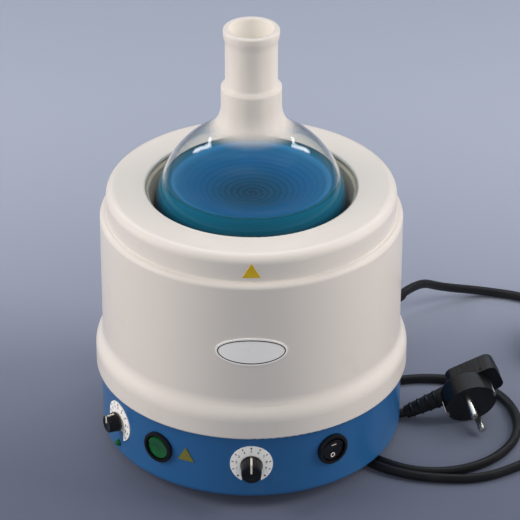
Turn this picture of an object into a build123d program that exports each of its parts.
from build123d import *

import os
from math import atan2, cos, degrees, pi, radians, sin, sqrt, tan

# Millimetres, +Z up. The origin is on the bench, on the axis of the mantle. The controls face -Y.

# feet and base pan
foot_height = 8.0
foot_radius = 9.0
foot_inset = 20.0  # from the pan's wall to the foot's centre
foot_angles = (50, 130, 230, 310)
pan_wall = 2.5
pan_height = 66.0
pan_edge = 4.0

# white upper shell
shell_wall = 2.5
shell_step = 1.5  # how far the pan stands out past the shell above the skirt
skirt_overlap = 16.5  # how far the skirt hangs over the pan
skirt_gap = 1.0
flare_height = 10.0
ring_step = 4.5  # how far the top ring is set in from the shell
ring_room = 4.5  # from the screw bosses to the ring's outside
ring_height = 20.0
ring_edge = 6.0
opening_ease = 5.0  # how much wider the opening is than the nest

# flask, 1000 ml
bulb_radius = 65.5
glass = 2.0
neck_length = 69.0  # from the top of the bulb to the rim
neck_step = 2.9  # how much wider the neck is than the joint
neck_blend = 25.2
joint_wall = 3.0
joint_length = 40.0
lip_step = 1.3
lip_height = 4.0
socket_big = 14.6
socket_depth = 32.0
socket_taper = 0.05  # the radius lost for each millimetre down
bulb_drop = 17.5  # centre of the bulb below the top of the shell
fill_rise = 22.5  # liquid at the wall, above the centre of the bulb
vortex_depth = 12.0
liquid_gap = 0.2

# stirring bar and its drive
bar_length = 40.0
bar_radius = 4.0
bar_ridge = 1.0
bar_wall = 1.5
bar_end = 4.0
bar_swing_gap = 3.0
rest_gap = 0.4
magnet_radius = 7.0
magnet_height = 6.0
magnet_offset = 22.0
holder_edge = 2.0  # around the magnets
holder_end = 3.0
hub_height = 5.0
holder_height = 8.0
rotor_gap = 3.0
shaft_radius = 3.0
running_gap = 0.05
motor_radius = 26.0
motor_height = 44.0
motor_clear = 11.5  # below the motor
shaft_reach = 10.8  # from the motor plate to the rotor's hub
motor_screw_circle = 20.0
motor_plate = 2.0
motor_plate_size = (84.0, 56.0)
motor_post_radius = 4.0
motor_post_inset = 6.0

# heated nest
nest_ease = 1.5  # how much wider the nest is than the bulb
lining = 4.0
seat_gap = 0.3
wire_radius = 1.2
wire_gap = 0.1
wire_angles = (18, 34, 50, 66, 82)
insulation = 10.0
support_sheet = 1.2
flange_gap = 1.0
tie_gap = 0.6  # from the support bowl to the screw bosses
tie_radius = 2.0
tie_angles = (-8, 100, 180, 285)
boss_radius = 4.5
screw_gap = 0.1
head_height = 2.4
head_radius = 3.6

# controls; each angle is measured from the front, positive to the right
control_height = 28.0  # above the underside of the pan
heat_angle = 0.0
speed_angle = -60.5
power_angle = -37.0
stirrer_angle = 31.5
stirrer_switch_rise = 2.5
lamp_angle = -61.0
lamp_height = 9.7
lamp_radius = 2.5
dial_radius = 14.5
label_thickness = 0.6
pot_radius = 9.0
pot_depth = 10.0
bush_radius = 4.0
bush_reach = 4.6
knob_base = 1.4
heat_knob_radius = 7.6
heat_knob_length = 12.4
speed_knob_radius = 6.9
speed_knob_length = 8.4
pot_nut_flats = 5.0  # half the width across the flats
bezel_lip = 1.5
bezel_height = 2.4
switch_radius = 10.0
switch_depth = 20.0
switch_wall = 1.0
rocker_gap = 0.8
rocker_tilt = 8.0
rocker_pivot = -1.0
marker_side = 12.0
base_marker_angle = -25.0
badge_size = (48.0, 21.0)
badge_height = 116.2
top_marker_drop = 12.0

# inside the pan
board_size = (50.0, 42.0, 1.6)
board_centre = (-43.0, 49.0)
board_post = 7.5
board_post_radius = 3.0
board_post_inset = 4.0
transformer_size = (38.0, 30.0, 32.0)
transformer_centre = (61.0, -4.0)
terminal_size = (30.0, 14.0, 13.0)
terminal_centre = (28.0, 71.0)

# mains lead
cord_radius = 3.3
gland_angle = 49.0  # from +X towards +Y
gland_height = 22.0
gland_radius = 10.0
gland_flange = 5.0
gland_cap = 11.0
gland_cap_radius = 8.5
gland_stem_radius = 6.0
boot_length = 50.0
boot_thick = 6.5
boot_thin = 4.4
store_centre = (245.0, 95.0)
store_radius = 36.0
store_from, store_to = 45.0, -740.0
loop_centre = (122.0, -8.0)
loop_inner, loop_outer = 52.0, 72.0
# sweep angle about the loop's centre, and the lead's distance from it there
loop_marks = (
    (-60, 77.0), (-85, 66.5), (-110, 63.0), (-180, 61.0), (-270, 62.5),
    (-320, 71.0), (-360, 68.5), (-420, 62.0), (-450, 59.5), (-488, 55.5),
)
coil_step = 24.0

# angled plug: the lead enters along +u, the pins point along +p
plug_boot_length = 36.0
plug_boot_thin = 4.6
plug_boot_thick = 7.0
plug_turn = 6.0
plug_rise = 24.0
plug_tilt = 20.0
plug_disc_radius = 18.5
plug_disc = 16.0
plug_block = (36.0, 27.0, 14.0)
pin_radius = 2.4
pin_length = 19.0
pin_spacing = 19.0
pin_root = 4.0

# what follows from them
pan_low = foot_height
floor_top = pan_low + pan_wall
pan_top = pan_low + pan_height
nest_radius = bulb_radius + nest_ease
opening_radius = nest_radius + opening_ease
lining_radius = nest_radius + lining
wire_circle = lining_radius + wire_gap + wire_radius
insulation_radius = wire_circle + wire_radius + wire_gap
support_radius = insulation_radius + insulation + wire_gap
tie_circle = support_radius + support_sheet + tie_gap + boss_radius
ring_radius = tie_circle + boss_radius + ring_room
shell_radius = ring_radius + ring_step
pan_radius = shell_radius + shell_step
skirt_radius = pan_radius + skirt_gap + shell_wall
support_flange = ring_radius - shell_wall - flange_gap
foot_circle = pan_radius - foot_inset
plate_low = floor_top + motor_clear + motor_height
motor_low = plate_low - motor_height
holder_low = plate_low + shaft_reach + hub_height
holder_top = holder_low + holder_height
holder_length = 2 * (magnet_offset + magnet_radius + holder_end)
holder_width = 2 * (magnet_radius + holder_edge)
nest_z = holder_top + rotor_gap + support_sheet + support_radius
flask_low = nest_z - nest_radius + seat_gap
flask_height = 2 * bulb_radius + neck_length
flask_top = flask_low + flask_height
bulb_z = flask_low + bulb_radius
shell_top = bulb_z + bulb_drop
skirt_low = pan_top - skirt_overlap
shell_inside = shell_radius - shell_wall
ring_low = shell_top - ring_height
ceiling = shell_top - shell_wall
bore_radius = bulb_radius - glass
joint_radius = socket_big + joint_wall
lip_radius = joint_radius + lip_step
neck_radius = joint_radius + neck_step
socket_small = socket_big - socket_depth * socket_taper
neck_rise = sqrt((bulb_radius + neck_blend) ** 2 - (neck_radius + neck_blend) ** 2)
joint_low = flask_top - joint_length
boss_low = ceiling - 7.5
flange_low = boss_low - support_sheet
bar_z = bulb_z - sqrt(bore_radius**2 - (bar_length / 2 - bar_radius * 0.85) ** 2) + bar_radius + rest_gap
bar_core_radius = bar_radius - bar_wall
bar_core_length = bar_length - 2 * bar_end
bar_room = bar_length / 2 + bar_swing_gap
room_top = bar_z + bar_radius + bar_ridge + 0.8
bezel_radius = switch_radius + bezel_lip
rocker_well = switch_radius - switch_wall
rocker_radius = rocker_well - rocker_gap
control_z = pan_low + control_height


def turned(*corners):
    """A solid of revolution about Z from (radius, height) or (radius, height, rounding) corners."""
    path = FilletPolyline(
        *[(c[0], 0, c[1]) for c in corners],
        radius=[c[2] if len(c) > 2 else 0 for c in corners],
        close=True,
    )
    return revolve(make_face(path), axis=Axis.Z)


def swung(*edges):
    """A solid of revolution about Z from edges that close an outline in the XZ plane."""
    return revolve(make_face(Wire(list(edges))), axis=Axis.Z)


def line(a, b):
    return Edge.make_line((a[0], 0, a[1]), (b[0], 0, b[1]))


def arc_about(centre, radius, start, end):
    """An arc in the XZ plane, from one angle to another, in degrees from +X."""
    spots = [
        (centre[0] + radius * cos(radians(a)), 0, centre[1] + radius * sin(radians(a)))
        for a in (start, (start + end) / 2, end)
    ]
    return Edge.make_three_point_arc(*spots)


def disc(radius, low, high, x=0.0, y=0.0):
    """A round bar standing from one height to another."""
    return Pos(x, y, (low + high) / 2) * Cylinder(radius, high - low)


def block(size, low, centre=(0.0, 0.0)):
    """A box standing on a height, about a centre."""
    return Pos(centre[0], centre[1], low + size[2] / 2) * Box(*size)


def around(radius, angles):
    """Places on a circle about the axis, from angles off +X."""
    return [(radius * cos(radians(a)), radius * sin(radians(a))) for a in angles]


def wall_frame(angle, height, radius=pan_radius):
    """A frame on the wall: X to the right seen from outside, Y up, Z straight out."""
    out = (sin(radians(angle)), -cos(radians(angle)), 0)
    right = (cos(radians(angle)), sin(radians(angle)), 0)
    return Location(Plane(origin=(radius * out[0], radius * out[1], height), x_dir=right, z_dir=out))


def pegged(radius, low, high):
    """A bar along local Z."""
    return Pos(0, 0, (low + high) / 2) * Cylinder(radius, high - low)


def wall_label(outline, frame, radius):
    """A thin plate that hugs the round wall, cut from it by an outline drawn in the wall's frame."""
    tall = 4 * dial_radius
    height = frame.position.Z
    hoop = disc(radius + label_thickness, height - tall, height + tall)
    hoop -= disc(radius, height - tall, height + tall)
    return hoop & (frame * (Pos(0, 0, -tall / 2) * extrude(outline, tall)))


# feet, pan and what closes it


def foot(x, y):
    rubber = turned((0, 0), (foot_radius - 1, 0, 1), (foot_radius, foot_height), (0, foot_height))
    rubber -= disc(head_radius + 0.6, -1, foot_height - 3)
    rubber -= disc(tie_radius + screw_gap, 0, foot_height + 1)
    return Pos(x, y, 0) * rubber


def screw(length, head_low=True):
    """A pan-head screw along Z: the shank starts at 0 and the head is below it, or above its far end."""
    shank = disc(tie_radius, 0, length)
    low = -head_height if head_low else length
    return shank + disc(head_radius, low, low + head_height)


def feet():
    return [foot(x, y) for x, y in around(foot_circle, foot_angles)]


def foot_screws():
    base = foot_height - 3
    return [Pos(x, y, base) * screw(3 + pan_wall + 4) for x, y in around(foot_circle, foot_angles)]


def foot_nuts():
    nut = extrude(RegularPolygon(3.6, 6, major_radius=False), 3) - disc(tie_radius + screw_gap, -1, 4)
    return [Pos(x, y, floor_top) * nut for x, y in around(foot_circle, foot_angles)]


def base_pan():
    pan = turned(
        (0, pan_low), (pan_radius, pan_low, pan_edge), (pan_radius, pan_top),
        (pan_radius - pan_wall, pan_top), (pan_radius - pan_wall, floor_top, pan_edge - 1), (0, floor_top),
    )
    through = around(foot_circle, foot_angles) + around(tie_circle, tie_angles) + motor_posts_at()
    for x, y in through:
        pan -= disc(tie_radius + screw_gap, 0, floor_top + 1, x, y)
    for angle, height, radius in wall_holes():
        pan -= wall_frame(angle, height) * pegged(radius, -2 * pan_wall, pan_wall)
    return pan


def wall_holes():
    """Angle, height and radius of each hole in the pan's wall."""
    return (
        (heat_angle, control_z, bush_radius + screw_gap),
        (speed_angle, control_z, bush_radius + screw_gap),
        (power_angle, control_z, switch_radius + screw_gap),
        (stirrer_angle, control_z + stirrer_switch_rise, switch_radius + screw_gap),
        (lamp_angle, pan_low + lamp_height, lamp_radius + screw_gap),
        (90 + gland_angle, pan_low + gland_height, gland_stem_radius + screw_gap),
    )


def upper_shell():
    outside = [
        (skirt_radius, skirt_low, 1.7),
        (skirt_radius, pan_top + 1, 14),
        (shell_radius, pan_top + flare_height, 12),
        (shell_radius, ring_low, 3.5),
        (ring_radius, ring_low + 1.2, 1.0),
        (ring_radius, shell_top, ring_edge),
        (opening_radius, shell_top, 1.4),
    ]
    inside = [
        (opening_radius, ceiling),
        (ring_radius - shell_wall, ceiling, ring_edge - shell_wall),
        (ring_radius - shell_wall, ring_low - 1.2),
        (shell_inside, ring_low - 4.2),
        (shell_inside, pan_top),
        (pan_radius + skirt_gap, pan_top),
        (pan_radius + skirt_gap, skirt_low, 0.6),
    ]
    shell = turned(*outside, *inside)
    for x, y in around(tie_circle, tie_angles):
        shell += disc(boss_radius, boss_low, ceiling + 0.5, x, y)
        shell -= disc(tie_radius + screw_gap, boss_low - 1, ceiling - 0.5, x, y)
    return shell


def tie_screws():
    length = ceiling - 1.5 - pan_low
    return [Pos(x, y, pan_low) * screw(length) for x, y in around(tie_circle, tie_angles)]


def badge_plate():
    frame = wall_frame(0, pan_low + badge_height, shell_radius)
    return wall_label(Ellipse(badge_size[0] / 2, badge_size[1] / 2), frame, shell_radius)


def triangle():
    return RegularPolygon(marker_side / sqrt(3), 3, rotation=90)


def top_marker():
    frame = wall_frame(0, shell_top - top_marker_drop, ring_radius)
    return wall_label(triangle(), frame, ring_radius)


def base_marker():
    return wall_label(triangle(), wall_frame(base_marker_angle, control_z), pan_radius)


# heated nest


def cup(radius, thickness, top, top_spread=0.0):
    """Half a hollow ball below the nest's centre, with a collar up to a height."""
    outer = radius + thickness
    return swung(
        arc_about((0, nest_z), outer, -90, 0),
        line((outer, nest_z), (outer + top_spread, top)),
        line((outer + top_spread, top), (radius + top_spread, top)),
        line((radius + top_spread, top), (radius, nest_z)),
        arc_about((0, nest_z), radius, 0, -90),
        line((0, nest_z - radius), (0, nest_z - outer)),
    )


def nest_lining():
    return cup(nest_radius, lining, ceiling - 1, opening_radius - nest_radius - 2.5)


def heating_element():
    rings = []
    for angle in wire_angles:
        across = wire_circle * sin(radians(angle))
        rings.append(Pos(0, 0, nest_z - wire_circle * cos(radians(angle))) * Torus(across, wire_radius))
    return rings


def insulation_bowl():
    return cup(insulation_radius, insulation, flange_low + 2)


def support_bowl():
    bowl = cup(support_radius, support_sheet, boss_low)
    rim = disc(support_flange, flange_low, boss_low) - disc(support_radius + support_sheet / 2, 0, shell_top)
    bowl += rim
    for x, y in around(tie_circle, tie_angles):
        bowl -= disc(tie_radius + screw_gap, flange_low - 1, boss_low + 1, x, y)
    return bowl


def thermal_cutout():
    x, y = around(tie_circle + 0.6, (60,))[0]
    cutout = disc(4.5, flange_low - 5, flange_low, x, y)
    for side in (-2, 2):
        cutout += block((1, 2.6, 6), flange_low - 11, (x + side, y))
    return cutout


# flask, liquid and stirring bar


def flask_outline(wall):
    """The flask's outside, or its inside for a wall, as edges from the bottom up to the joint."""
    radius, neck, blend = bulb_radius - wall, neck_radius - wall, neck_blend + wall
    centre = (neck_radius + neck_blend, bulb_z + neck_rise)
    lean = degrees(atan2(neck_rise, neck_radius + neck_blend))
    return [
        arc_about((0, bulb_z), radius, -90, lean),
        arc_about(centre, blend, lean - 180, -180),
        line((neck, bulb_z + neck_rise), (neck, joint_low - 3)),
    ]


def flask_glass():
    lip_low = flask_top - lip_height
    outside = flask_outline(0) + [
        line((neck_radius, joint_low - 3), (joint_radius, joint_low + 1)),
        line((joint_radius, joint_low + 1), (joint_radius, lip_low - 3)),
        line((joint_radius, lip_low - 3), (lip_radius, lip_low)),
        line((lip_radius, lip_low), (lip_radius, flask_top)),
        line((lip_radius, flask_top), (socket_big, flask_top)),
        line((socket_big, flask_top), (socket_small, flask_top - socket_depth)),
        line((socket_small, flask_top - socket_depth), (neck_radius - glass, joint_low - 3)),
    ]
    inside = flask_outline(glass)
    return swung(*outside, *reversed(inside), line((0, bulb_z - bore_radius), (0, flask_low)))


def liquid():
    radius = bore_radius - liquid_gap
    edge = sqrt(radius**2 - fill_rise**2)
    rim = degrees(atan2(fill_rise, edge))
    dish = (edge**2 + vortex_depth**2) / (2 * vortex_depth)
    low = bulb_z + fill_rise - vortex_depth
    slope = degrees(atan2(edge, dish - vortex_depth))
    root = degrees(atan2(-sqrt(radius**2 - bar_room**2), bar_room))
    return swung(
        line((0, room_top), (0, low)),
        arc_about((0, low + dish), dish, -90, slope - 90),
        arc_about((0, bulb_z), radius, rim, root),
        line((bar_room, bulb_z - sqrt(radius**2 - bar_room**2)), (bar_room, room_top)),
        line((bar_room, room_top), (0, room_top)),
    )


def stir_bar_jacket():
    bar = fillet(Cylinder(bar_radius, bar_length).edges(), bar_radius * 0.85)
    bar += Cylinder(bar_radius + bar_ridge, 4)
    bar -= Cylinder(bar_core_radius, bar_core_length)
    return Pos(0, 0, bar_z) * (Rot(0, 90, 0) * bar)


def stir_bar_magnet():
    return Pos(0, 0, bar_z) * (Rot(0, 90, 0) * Cylinder(bar_core_radius, bar_core_length))


# stirrer drive


def motor_posts_at():
    half = [size / 2 - motor_post_inset for size in motor_plate_size]
    return [(x, y) for x in (-half[0], half[0]) for y in (-half[1], half[1])]


def motor():
    body = turned(
        (0, motor_low), (motor_radius, motor_low, 2), (motor_radius, plate_low), (8, plate_low),
        (8, plate_low + motor_plate + 2), (0, plate_low + motor_plate + 2),
    )
    body -= disc(shaft_radius + running_gap, plate_low - 12, shell_top)
    for x, y in around(motor_screw_circle, (30, 150, 270)):
        body -= disc(1.5 + screw_gap, plate_low - 7, plate_low + 1, x, y)
    return body


def motor_bracket():
    plate = block((*motor_plate_size, motor_plate), plate_low)
    plate -= disc(8 + screw_gap, plate_low - 1, plate_low + motor_plate + 1)
    for x, y in around(motor_screw_circle, (30, 150, 270)):
        plate -= disc(1.5 + screw_gap, plate_low - 1, plate_low + motor_plate + 1, x, y)
    for x, y in motor_posts_at():
        plate -= disc(tie_radius + screw_gap, plate_low - 1, plate_low + motor_plate + 1, x, y)
    return plate


def motor_posts():
    posts = []
    for x, y in motor_posts_at():
        post = disc(motor_post_radius, floor_top, plate_low, x, y)
        post -= disc(tie_radius + screw_gap, floor_top - 1, floor_top + 9, x, y)
        posts.append(post - disc(tie_radius + screw_gap, plate_low - 9, plate_low + 1, x, y))
    return posts


def motor_screws():
    screws = []
    for x, y in around(motor_screw_circle, (30, 150, 270)):
        top = plate_low + motor_plate
        screws.append(disc(1.5, top - 8, top, x, y) + disc(2.8, top, top + 1.8, x, y))
    return screws


def bracket_screws():
    top = plate_low + motor_plate
    return [Pos(x, y, top - 9) * screw(9, head_low=False) for x, y in motor_posts_at()]


def floor_screws():
    return [Pos(x, y, pan_low) * screw(pan_wall + 8) for x, y in motor_posts_at()]


def rotor_shaft():
    return disc(shaft_radius, plate_low - 11, holder_top - 2)


def magnet_holder():
    bar = block((holder_length, holder_width, holder_height), holder_low)
    bar = fillet(bar.edges().filter_by(Axis.Z), holder_width / 2 - 1)
    bar += disc(7, holder_low - hub_height, holder_low)
    bar -= disc(shaft_radius, holder_low - hub_height - 1, holder_top - 2)
    for side in (-1, 1):
        bar -= disc(magnet_radius, holder_top - magnet_height, holder_top + 1, side * magnet_offset)
    return bar


def drive_magnets():
    low = holder_top - magnet_height
    return [disc(magnet_radius, low, holder_top, side * magnet_offset) for side in (-1, 1)]


# electrics


def board_corners():
    half = [size / 2 - board_post_inset for size in board_size[:2]]
    x, y = board_centre
    return [(x + i * half[0], y + j * half[1]) for i in (-1, 1) for j in (-1, 1)]


def control_board():
    board = block(board_size, floor_top + board_post, board_centre)
    for x, y in board_corners():
        board -= disc(1.5 + screw_gap, 0, shell_top, x, y)
    return board


def board_posts():
    posts = []
    for x, y in board_corners():
        post = disc(board_post_radius, floor_top, floor_top + board_post, x, y)
        posts.append(post + disc(1.5, floor_top + board_post, floor_top + board_post + 4, x, y))
    return posts


def board_top():
    return floor_top + board_post + board_size[2]


def triac_heatsink():
    x, y = board_centre
    sink = block((22, 3, 24), board_top(), (x - 8, y + 8))
    for fin in range(5):
        sink += block((1.4, 9, 24), board_top(), (x - 8 - 9 + fin * 4.5, y + 14))
    return sink


def board_relay():
    x, y = board_centre
    return fillet(block((15, 19, 15), board_top(), (x + 13, y + 4)).edges().filter_by(Axis.Z), 1)


def board_capacitors():
    x, y = board_centre
    return [disc(5, board_top(), board_top() + 17, x - 14 + step * 12, y - 8) for step in range(2)]


def transformer_core():
    core = block(transformer_size, floor_top, transformer_centre)
    for side in (-1, 1):
        core -= block((7, 40, 20), floor_top + 6, (transformer_centre[0] + side * 9.5, transformer_centre[1]))
    return core


def transformer_coil():
    winding = block((25.6, transformer_size[1] + 16, 19.6), floor_top + 6.2, transformer_centre)
    return winding - block((12, transformer_size[1], 40), floor_top, transformer_centre)


def terminal_block():
    terminals = block(terminal_size, floor_top, terminal_centre)
    for step in (-9, 0, 9):
        terminals -= disc(2, floor_top + 6, floor_top + 20, terminal_centre[0] + step, terminal_centre[1])
    return terminals


# knobs, dials and switches


def dial(angle):
    plate = Circle(dial_radius) - Circle(bush_radius + 0.4)
    plate -= Pos(0, -dial_radius) * Rectangle(13, 2 * dial_radius - 12)
    return wall_label(plate, wall_frame(angle, control_z), pan_radius)


def pot(angle):
    body = pegged(pot_radius, -pot_depth - 3, -3) + pegged(bush_radius, -3, bush_reach)
    body += Pos(0, -pot_radius - 2, -6) * Box(12, 6, 1.6)
    body -= pegged(shaft_radius + running_gap, -pot_depth - 1, bush_reach + 1)
    return wall_frame(angle, control_z) * body


def pot_nut(angle):
    nut = extrude(RegularPolygon(pot_nut_flats, 6, major_radius=False), 2.4) - pegged(bush_radius, -1, 4)
    return wall_frame(angle, control_z) * (Pos(0, 0, 1.0) * nut)


def knob_shaft(angle, length):
    return wall_frame(angle, control_z) * pegged(shaft_radius, -pot_depth, length - 2)


def knob_cap(angle, radius, length):
    end = knob_base + length
    cap = Pos(0, 0, knob_base + length / 2) * Cone(radius, radius - 0.5, length)
    cap = fillet(cap.edges().sort_by(Axis.Z)[-1], 0.8)
    cap -= pegged(pot_nut_flats / cos(pi / 6) + 0.25, 0, bush_reach + 0.6)
    cap -= pegged(shaft_radius, 0, end - 3.4)
    cap -= pointer_bar(radius, end)
    return wall_frame(angle, control_z) * cap


def pointer_bar(radius, end):
    return Pos(0, radius / 2, end - 0.2) * Box(1.4, radius - 1.2, 0.8)


def knob_pointer(angle, radius, length):
    return wall_frame(angle, control_z) * pointer_bar(radius, knob_base + length)


def switch_case(angle, rise):
    """The fixed part of a round rocker switch, whose bezel hugs the wall."""
    frame = wall_frame(angle, control_z + rise)
    case = pegged(bezel_radius, -3, bezel_height)
    case = fillet(case.edges().sort_by(Axis.Z)[-1], 1.2)
    case = (frame * case) - disc(pan_radius, 0, pan_top)
    case += frame * pegged(switch_radius, -switch_depth, 0.5)
    case -= frame * pegged(rocker_well, -9, bezel_height + 1)
    for side in (-4, 4):
        case += frame * (Pos(0, side, -switch_depth - 4) * Box(6, 1, 9))
    return case


def rocker_body():
    """A rocker in its own frame, level, pivoting about X."""
    face = 1.0
    edge = 2.2
    outline = Polyline(
        (0, -rocker_radius, -3), (0, -rocker_radius, edge), (0, 0, face),
        (0, rocker_radius, edge), (0, rocker_radius, -3), close=True,
    )
    slab = extrude(make_face(outline), rocker_radius, dir=(1, 0, 0), both=True)
    return slab & pegged(rocker_radius, -3, 4)


def tilted(angle, rise, shape):
    """A rocker's shape, tipped to its rest side and put in its case."""
    pivot = Pos(0, 0, rocker_pivot)
    return wall_frame(angle, control_z + rise) * (pivot * Rot(rocker_tilt, 0, 0) * pivot.inverse() * shape)


def rocker_marks():
    """A bar and a ring, the signs for on and off."""
    bar = Pos(0, 4.4, 1.2) * Box(3.6, 0.9, 1.0)
    ring = Pos(0, -4.4, 1.3) * (Cylinder(1.7, 1.0) - Cylinder(1.0, 1.0))
    return [bar, ring]


def indicator_lamp():
    lens = pegged(lamp_radius, -6, 0.6) + pegged(lamp_radius + 0.6, -7, -pan_wall - 0.1)
    lens += Pos(0, 0, 0.6) * (Sphere(lamp_radius) & (Pos(0, 0, 2) * Box(9, 9, 4)))
    return wall_frame(lamp_angle, pan_low + lamp_height) * lens


# mains lead, its gland and its plug


def gland_frame():
    return wall_frame(90 + gland_angle, pan_low + gland_height)


def cable_gland():
    flange = (gland_frame() * pegged(gland_radius, -3, gland_flange)) - disc(pan_radius, 0, pan_top)
    stem = gland_frame() * pegged(gland_stem_radius, -13, 1)
    return flange + stem - gland_frame() * pegged(cord_radius + 0.3, -14, gland_flange + 1)


def gland_nut():
    nut = extrude(RegularPolygon(8, 6, major_radius=False), 4.5) - pegged(gland_stem_radius, -1, 6)
    return gland_frame() * (Pos(0, 0, -pan_wall - 4.5 - 0.4) * nut)


def gland_cap_nut():
    cap = extrude(RegularPolygon(gland_cap_radius, 6, major_radius=False), gland_cap - 3)
    cap += pegged(gland_cap_radius - 0.5, gland_cap - 3, gland_cap)
    return gland_frame() * (Pos(0, 0, gland_flange) * (cap - pegged(cord_radius + 0.3, -1, gland_cap - 2)))


def boot_start():
    return gland_flange + gland_cap


def lead_boot():
    boot = Pos(0, 0, boot_start() + boot_length / 2) * Cone(boot_thick, boot_thin, boot_length)
    return gland_frame() * boot


def boot_tip():
    tip = gland_frame() * Pos(0, 0, boot_start() + boot_length)
    return tuple(tip.position)


def ring_point(centre, radius, angle, height):
    return (centre[0] + radius * cos(radians(angle)), centre[1] + radius * sin(radians(angle)), height)


def between(marks, at):
    """The value of a list of (place, value) marks at a place, in a straight line between two marks."""
    for (a, low), (b, high) in zip(marks, marks[1:]):
        if b <= at <= a:
            return low + (high - low) * (at - a) / (b - a)
    return marks[-1][1]


def loop_points(first, last):
    """The loose loop's points from one sweep angle down to another."""
    count = round((first - last) / coil_step)
    angles = [first + (last - first) * step / count for step in range(count + 1)]
    return [ring_point(loop_centre, between(loop_marks, a), a, cord_radius) for a in angles]


def store_rise():
    """How high the stored coil's lead has climbed where it leaves."""
    return 2 * cord_radius * (store_from - store_to) / 360


lead_out_points = [
    boot_tip(), (126, 149, 29), (143, 166, 14), (175, 179, 3.3), (212, 168, 3.3), (246, 145, 3.3),
    ring_point(store_centre, store_radius, store_from, cord_radius),
]
lead_back_points = [
    ring_point(store_centre, store_radius, store_to, cord_radius + store_rise()),
    (268.5, 54.5, 14), (254.7, 23.4, 7), (237.7, -6, 3.3), (216.8, -32.8, 3.3), (191.5, -55.6, 3.3),
]
plug_tip = (110.0, 6.0, 5.2)
lead_end_points = [
    (88.1, -51.3, 3.3), (76, -38.5, 3.3), (72.8, -24, 3.3), (77, -9, 3.3), (89, 2, 3.3), plug_tip,
]


def tube(name, points):
    """A stretch of the lead: straight runs joined by arcs as large as the runs allow."""
    runs = [(Vector(*b) - Vector(*a)) for a, b in zip(points, points[1:])]
    radii = []
    for before, after in zip(runs, runs[1:]):
        turn = radians(before.get_angle(after))
        radii.append(0.45 * min(before.length, after.length) / tan(turn / 2))
    path = FilletPolyline(*points, radius=radii)
    section = Plane(origin=path @ 0, z_dir=path % 0) * Circle(cord_radius)
    solid = sweep(section, path=path)
    share = solid.volume / (pi * cord_radius**2 * path.length)
    print(name, "length", round(path.length), "radii", [round(r) for r in radii], "volume ratio", round(share, 4))
    return solid


def lead_out():
    return tube("lead_out", lead_out_points)


def lead_back():
    return tube("lead_back", lead_back_points + loop_points(loop_marks[0][0], loop_marks[2][0]))


def lead_end():
    return tube("lead_end", lead_end_points)


def stored_coil():
    height = 2 * cord_radius * 3
    ring = disc(store_radius + cord_radius, 0, height) - disc(store_radius - cord_radius, -1, height + 1)
    return Pos(store_centre[0], store_centre[1], 0) * ring


def loose_loop():
    ring = disc(loop_outer, 0, 2 * cord_radius) - disc(loop_inner, -1, 2 * cord_radius + 1)
    return Pos(loop_centre[0], loop_centre[1], 0) * ring


def plug_axes():
    """The plug's u, p and side directions."""
    turn, rise, tilt = radians(plug_turn), radians(plug_rise), radians(plug_tilt)
    u = Vector(cos(rise) * cos(turn), cos(rise) * sin(turn), sin(rise))
    level = Vector(sin(turn), -cos(turn), 0)
    up = level.cross(u) * -1
    up = up if up.Z > 0 else up * -1
    return u, level * cos(tilt) - up * sin(tilt)


def plug_frame():
    """X along the lead into the plug, Z along the pins, at the middle of the plug's face."""
    u, p = plug_axes()
    face = Vector(*plug_tip) + u * (plug_boot_length + 10) + p * plug_disc
    return Location(Plane(origin=face, x_dir=u, z_dir=p))


def plug_boot():
    u, _ = plug_axes()
    start = Location(Plane(origin=plug_tip, z_dir=u))
    length = plug_boot_length
    return start * (Pos(0, 0, length / 2) * Cone(plug_boot_thin, plug_boot_thick, length))


def plug_body():
    face = Pos(0, 0, -plug_disc / 2) * Cylinder(plug_disc_radius, plug_disc)
    face = fillet(face.edges().sort_by(Axis.Z)[0], 2)
    heel = Pos(8, 0, -plug_disc - plug_block[2] / 2 + 3) * Box(*plug_block)
    heel = fillet(heel.edges().filter_by(Axis.Z), 6)
    heel = fillet(heel.edges().sort_by(Axis.Z)[:4], 2)
    body = (plug_frame() * (face + heel)) + plug_boot()
    for side in (-1, 1):
        body -= plug_frame() * (Pos(0, side * pin_spacing / 2, -pin_root / 2) * Cylinder(pin_radius, pin_root))
        body -= plug_frame() * earth_clip(side)
    return body


def plug_pins():
    length = pin_length + pin_root
    pins = []
    for side in (-1, 1):
        pin = Cylinder(pin_radius, length)
        pin = fillet(pin.edges().sort_by(Axis.Z)[-1], pin_radius * 0.7)
        pins.append(plug_frame() * (Pos(0, side * pin_spacing / 2, length / 2 - pin_root) * pin))
    return pins


def earth_clip(side):
    return Pos(side * (plug_disc_radius - 0.6), 0, -plug_disc / 2 + 2) * Box(1.6, 5, plug_disc - 4)


def earth_clips():
    return [plug_frame() * earth_clip(side) for side in (-1, 1)]


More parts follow.
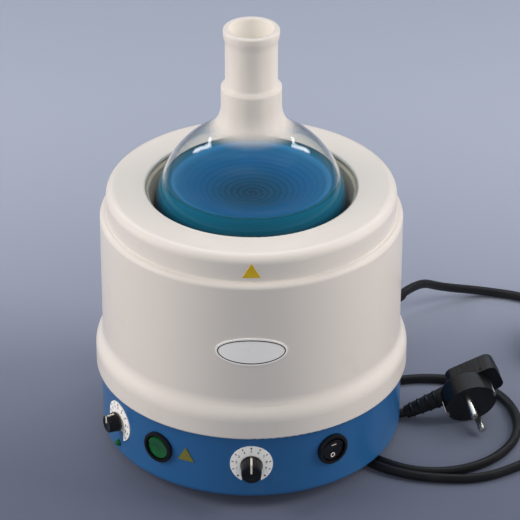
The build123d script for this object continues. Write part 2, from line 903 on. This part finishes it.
pieces = {
    "feet": feet(),
    "foot_screws": foot_screws(),
    "foot_nuts": foot_nuts(),
    "base_pan": base_pan(),
    "upper_shell": upper_shell(),
    "tie_screws": tie_screws(),
    "badge_plate": badge_plate(),
    "markers": [top_marker(), base_marker()],
    "nest_lining": nest_lining(),
    "heating_element": heating_element(),
    "insulation_bowl": insulation_bowl(),
    "support_bowl": support_bowl(),
    "thermal_cutout": thermal_cutout(),
    "flask_glass": flask_glass(),
    "liquid": liquid(),
    "stir_bar_jacket": stir_bar_jacket(),
    "stir_bar_magnet": stir_bar_magnet(),
    "motor": motor(),
    "motor_bracket": motor_bracket(),
    "motor_posts": motor_posts(),
    "motor_screws": motor_screws(),
    "post_screws": bracket_screws() + floor_screws(),
    "rotor_shaft": rotor_shaft(),
    "magnet_holder": magnet_holder(),
    "drive_magnets": drive_magnets(),
    "control_board": control_board(),
    "board_posts": board_posts(),
    "triac_heatsink": triac_heatsink(),
    "board_relay": board_relay(),
    "board_capacitors": board_capacitors(),
    "transformer_core": transformer_core(),
    "transformer_coil": transformer_coil(),
    "terminal_block": terminal_block(),
    "heat_dial": dial(heat_angle),
    "heat_pot": pot(heat_angle),
    "pot_nuts": [pot_nut(heat_angle), pot_nut(speed_angle)],
    "heat_shaft": knob_shaft(heat_angle, knob_base + heat_knob_length - 1.4),
    "heat_knob": knob_cap(heat_angle, heat_knob_radius, heat_knob_length),
    "heat_knob_pointer": knob_pointer(heat_angle, heat_knob_radius, heat_knob_length),
    "speed_dial": dial(speed_angle),
    "speed_pot": pot(speed_angle),
    "speed_shaft": knob_shaft(speed_angle, knob_base + speed_knob_length - 1.4),
    "speed_knob": knob_cap(speed_angle, speed_knob_radius, speed_knob_length),
    "speed_knob_pointer": knob_pointer(speed_angle, speed_knob_radius, speed_knob_length),
    "power_switch_case": switch_case(power_angle, 0),
    "power_rocker": tilted(power_angle, 0, rocker_body()),
    "stirrer_switch_case": switch_case(stirrer_angle, stirrer_switch_rise),
    "stirrer_rocker": tilted(stirrer_angle, stirrer_switch_rise, rocker_body() - rocker_marks()),
    "stirrer_rocker_marks": [tilted(stirrer_angle, stirrer_switch_rise, m) for m in rocker_marks()],
    "indicator_lamp": indicator_lamp(),
    "cable_gland": cable_gland(),
    "gland_nuts": [gland_nut(), gland_cap_nut()],
    "lead_boot": lead_boot(),
    "lead_out": lead_out(),
    "stored_coil": stored_coil(),
    "lead_back": lead_back(),
    "loose_loop": loose_loop(),
    "lead_end": lead_end(),
    "plug_body": plug_body(),
    "plug_contacts": plug_pins() + earth_clips(),
}

os.makedirs("parts", exist_ok=True)
for name, shape in pieces.items():
    solids = shape if isinstance(shape, list) else [shape]
    export_step(Compound(children=[s.solid() for s in solids]), f"parts/{name}.step")
print(len(pieces), "nodes written")
